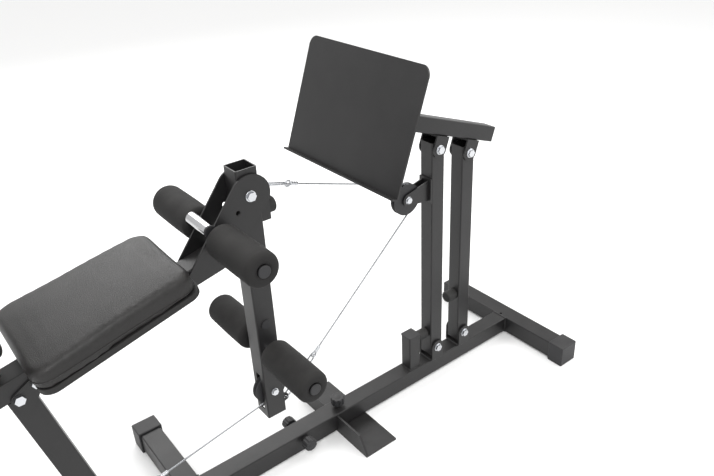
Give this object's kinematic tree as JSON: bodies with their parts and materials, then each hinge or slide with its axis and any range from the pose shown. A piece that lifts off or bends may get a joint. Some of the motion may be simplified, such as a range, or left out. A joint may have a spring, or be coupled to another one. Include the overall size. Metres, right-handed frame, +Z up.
{
  "type": "adjustable weight bench",
  "caption": "Weight bench station with padded seat, reclining backrest, foam-roller leg developer and a cable-linked swinging leg press on a telescopic base rail.",
  "frame": {"origin": "on the floor under the middle of the bench's length and width", "axes": "+X from the backrest towards the leg press, +Y to the sitter's left, +Z up"},
  "size_m": [1.646, 0.552, 1.1168],
  "materials": {
    "powder_coat": "satin black powder coat",
    "vinyl": "black grained upholstery vinyl",
    "foam": "black closed-cell foam, matte",
    "black_plastic": "moulded black plastic",
    "black_rubber": "black rubber",
    "backing": "black vinyl and dust cloth wrapped over plywood",
    "chrome_tube": "bright chrome",
    "zinc": "bright zinc",
    "wire_rope": "bare steel wire rope"
  },
  "bodies": {
    "frame": {"back_quadrants": "powder_coat", "base_tube_caps": "black_plastic", "cross_handle": "chrome_tube", "frame_bolts": "zinc", "front_cross_foot": "powder_coat", "front_tube_caps": "black_plastic", "inner_rail": "powder_coat", "lower_pivot_bolts": "zinc", "middle_foot_arms": "powder_coat", "outer_rail": "powder_coat", "rear_cross_foot": "powder_coat", "seat_board": "backing", "seat_pad": "vinyl", "seat_post": "powder_coat", "seat_post_gussets": "powder_coat", "seat_tube": "powder_coat", "side_plates": "powder_coat", "stand_angle": "powder_coat", "stop_bumper": "black_rubber", "stop_post": "powder_coat", "upper_bar_plugs": "black_plastic", "upper_roller_bar": "chrome_tube", "upright_brackets": "powder_coat"},
    "rear_upright": {"rear_upright": "powder_coat", "rear_upright_bushes": "black_plastic", "press_pulley_bracket": "powder_coat", "press_pulley_bolt": "zinc"},
    "front_upright": {"front_upright": "powder_coat", "front_upright_bushes": "black_plastic", "upright_bumper": "black_rubber"},
    "top_bar": {"top_bar": "powder_coat", "top_bar_cap": "black_plastic", "top_bar_brackets": "powder_coat", "upper_pivot_bolts": "zinc", "foot_plate": "powder_coat"},
    "lever": {"lever_tube": "powder_coat", "lever_bushes": "black_plastic", "lever_brackets": "powder_coat", "lever_bumper": "black_rubber", "lever_pulley_bolt": "zinc", "lower_roller_bar": "chrome_tube", "lower_bar_plugs": "black_plastic"},
    "lever_pulley": {"lever_pulley": "black_plastic"},
    "press_pulley": {"press_pulley": "black_plastic"},
    "upper_roller_near": {"upper_roller_near": "foam"},
    "upper_roller_far": {"upper_roller_far": "foam"},
    "lower_roller_near": {"lower_roller_near": "foam"},
    "lower_roller_far": {"lower_roller_far": "foam"},
    "rail_top_knob": {"rail_top_knob": "black_plastic"},
    "rail_side_knob_near": {"rail_side_knob_near": "black_plastic"},
    "rail_side_knob_far": {"rail_side_knob_far": "black_plastic"},
    "backrest": {"back_tube": "powder_coat", "back_board": "backing", "back_pad": "vinyl"},
    "back_clamp_knob": {"back_clamp_knob": "black_plastic"},
    "press_cable_clip": {"press_cable_clip": "zinc"},
    "press_cable": {"press_cable": "wire_rope"},
    "press_cable_link": {"press_cable_link": "zinc"},
    "weight_cable": {"weight_cable": "wire_rope", "weight_cable_clip": "zinc"}
  },
  "joints": [
    {"name": "press_swing", "type": "hinge", "parent": "frame", "child": "rear_upright", "pos_m": [0.491, 0, 0.09], "axis": [0, 1, 0], "range_deg": [0, 20]},
    {"name": "front_upright_swing", "type": "hinge", "parent": "frame", "child": "front_upright", "pos_m": [0.592, 0, 0.09], "axis": [0, 1, 0], "range_deg": [0, 21.6]},
    {"name": "top_bar_tilt", "type": "hinge", "parent": "rear_upright", "child": "top_bar", "pos_m": [0.491, 0, 0.661], "axis": [0, 1, 0], "range_deg": [-19.4, 0]},
    {"name": "lever_swing", "type": "hinge", "parent": "frame", "child": "lever", "pos_m": [-0.013, 0, 0.71], "axis": [0, -1, 0], "range_deg": [0, 36]},
    {"name": "lever_pulley_spin", "type": "hinge", "parent": "lever", "child": "lever_pulley", "pos_m": [-0.013, 0, 0.222], "axis": [0, 1, 0], "continuous": true},
    {"name": "press_pulley_spin", "type": "hinge", "parent": "rear_upright", "child": "press_pulley", "pos_m": [0.404, 0, 0.555], "axis": [0, 1, 0], "continuous": true},
    {"name": "press_cable_clip_swing", "type": "hinge", "parent": "lever", "child": "press_cable_clip", "pos_m": [0.0305, 0, 0.711], "axis": [0, -1, 0], "range_deg": [-33, 0]},
    {"name": "press_cable_run", "type": "slide", "parent": "press_cable_clip", "child": "press_cable", "axis": [0.9507, 0, -0.31], "range_m": [0, 0.172], "deforming": ["press_cable"]},
    {"name": "press_cable_link_swing", "type": "hinge", "parent": "lever", "child": "press_cable_link", "pos_m": [0.0245, 0, 0.17], "axis": [0, -1, 0], "range_deg": [-33, 0]},
    {"name": "weight_cable_swing", "type": "hinge", "parent": "lever", "child": "weight_cable", "pos_m": [-0.013, 0, 0.222], "axis": [0, -1, 0], "range_deg": [-36, 0]},
    {"name": "backrest_recline", "type": "hinge", "parent": "frame", "child": "backrest", "pos_m": [-0.53934, 0, 0.54987], "axis": [0, 1, 0], "range_deg": [-30, 12]},
    {"name": "back_clamp_turn", "type": "hinge", "parent": "backrest", "child": "back_clamp_knob", "pos_m": [-0.64697, 0, 0.56059], "axis": [0, 1, 0], "continuous": true},
    {"name": "upper_roller_near_spin", "type": "hinge", "parent": "frame", "child": "upper_roller_near", "pos_m": [-0.093, -0.1, 0.65], "axis": [0, 1, 0], "continuous": true},
    {"name": "upper_roller_far_spin", "type": "hinge", "parent": "frame", "child": "upper_roller_far", "pos_m": [-0.093, 0.1, 0.65], "axis": [0, 1, 0], "continuous": true},
    {"name": "lower_roller_near_spin", "type": "hinge", "parent": "lever", "child": "lower_roller_near", "pos_m": [-0.013, -0.1, 0.341], "axis": [0, 1, 0], "continuous": true},
    {"name": "lower_roller_far_spin", "type": "hinge", "parent": "lever", "child": "lower_roller_far", "pos_m": [-0.013, 0.1, 0.341], "axis": [0, 1, 0], "continuous": true},
    {"name": "rail_top_knob_turn", "type": "hinge", "parent": "frame", "child": "rail_top_knob", "pos_m": [0.17, 0, 0.06], "axis": [0, 0, 1], "continuous": true},
    {"name": "rail_side_knob_near_turn", "type": "hinge", "parent": "frame", "child": "rail_side_knob_near", "pos_m": [0.05, -0.03, 0.038], "axis": [0, 1, 0], "continuous": true},
    {"name": "rail_side_knob_far_turn", "type": "hinge", "parent": "frame", "child": "rail_side_knob_far", "pos_m": [0.05, 0.03, 0.038], "axis": [0, 1, 0], "continuous": true}
  ],
  "couplings": [
    {"joint": "front_upright_swing", "follows": "press_swing", "ratio": 1.0674},
    {"joint": "top_bar_tilt", "follows": "press_swing", "ratio": -0.9505},
    {"joint": "lever_swing", "follows": "press_swing", "ratio": 1.7378},
    {"joint": "press_cable_clip_swing", "follows": "press_swing", "ratio": -1.55},
    {"joint": "press_cable_run", "follows": "press_swing", "m_per_rad": 0.4765},
    {"joint": "press_cable_link_swing", "follows": "press_swing", "ratio": -1.565},
    {"joint": "weight_cable_swing", "follows": "press_swing", "ratio": -1.7378},
    {"joint": "press_pulley_spin", "follows": "press_swing", "ratio": -13.56}
  ]
}
